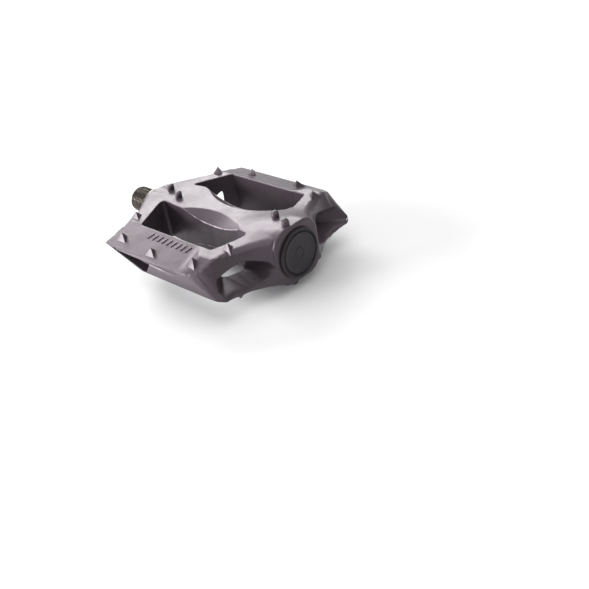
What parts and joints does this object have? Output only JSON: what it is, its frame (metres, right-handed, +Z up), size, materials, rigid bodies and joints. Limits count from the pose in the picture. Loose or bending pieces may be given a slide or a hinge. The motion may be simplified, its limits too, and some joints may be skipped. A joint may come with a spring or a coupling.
{
  "type": "flat bicycle pedal",
  "caption": "Black moulded flat bicycle pedal with two windows, three-sided grip spikes and a threaded steel axle.",
  "frame": {"origin": "bottom centre of the bounding box, on the surface that the lowest grip posts stand on", "axes": "+X along the axle from the crank thread to the end cap, +Z up through the tread, +Y towards the rail that carries two spikes"},
  "size_m": [0.126, 0.1, 0.038],
  "materials": {
    "black_nylon": "satin, moulded",
    "black_cap_plastic": "satin, moulded",
    "blackened_steel": "black oxide, lightly oiled",
    "hardened_steel": "ground",
    "bright_steel": "polished",
    "black_rubber": "matt"
  },
  "bodies": {
    "platform": {"platform_body": "black_nylon", "end_cap": "black_cap_plastic", "inboard_cup": "hardened_steel", "outboard_cup": "hardened_steel", "inboard_seal": "black_rubber"},
    "axle": {"spindle": "blackened_steel", "adjusting_cone": "blackened_steel", "lock_washer": "bright_steel", "lock_nut": "bright_steel"},
    "inboard_balls": {"inboard_ball_1": "bright_steel", "inboard_ball_2": "bright_steel", "inboard_ball_3": "bright_steel", "inboard_ball_4": "bright_steel", "inboard_ball_5": "bright_steel", "inboard_ball_6": "bright_steel", "inboard_ball_7": "bright_steel", "inboard_ball_8": "bright_steel", "inboard_ball_9": "bright_steel", "inboard_ball_10": "bright_steel", "inboard_ball_11": "bright_steel", "inboard_ball_12": "bright_steel"},
    "outboard_balls": {"outboard_ball_1": "bright_steel", "outboard_ball_2": "bright_steel", "outboard_ball_3": "bright_steel", "outboard_ball_4": "bright_steel", "outboard_ball_5": "bright_steel", "outboard_ball_6": "bright_steel", "outboard_ball_7": "bright_steel", "outboard_ball_8": "bright_steel", "outboard_ball_9": "bright_steel", "outboard_ball_10": "bright_steel", "outboard_ball_11": "bright_steel", "outboard_ball_12": "bright_steel"}
  },
  "joints": [
    {"name": "axle_spin", "type": "hinge", "parent": "platform", "child": "axle", "pos_m": [0.018, 0, 0.019], "axis": [1, 0, 0], "continuous": true},
    {"name": "inboard_ball_orbit", "type": "hinge", "parent": "platform", "child": "inboard_balls", "pos_m": [-0.0404, 0, 0.019], "axis": [1, 0, 0], "continuous": true},
    {"name": "outboard_ball_orbit", "type": "hinge", "parent": "platform", "child": "outboard_balls", "pos_m": [0.0448, 0, 0.019], "axis": [1, 0, 0], "continuous": true}
  ],
  "couplings": [
    {"joint": "inboard_ball_orbit", "follows": "axle_spin", "ratio": 0.42},
    {"joint": "outboard_ball_orbit", "follows": "axle_spin", "ratio": 0.42}
  ]
}
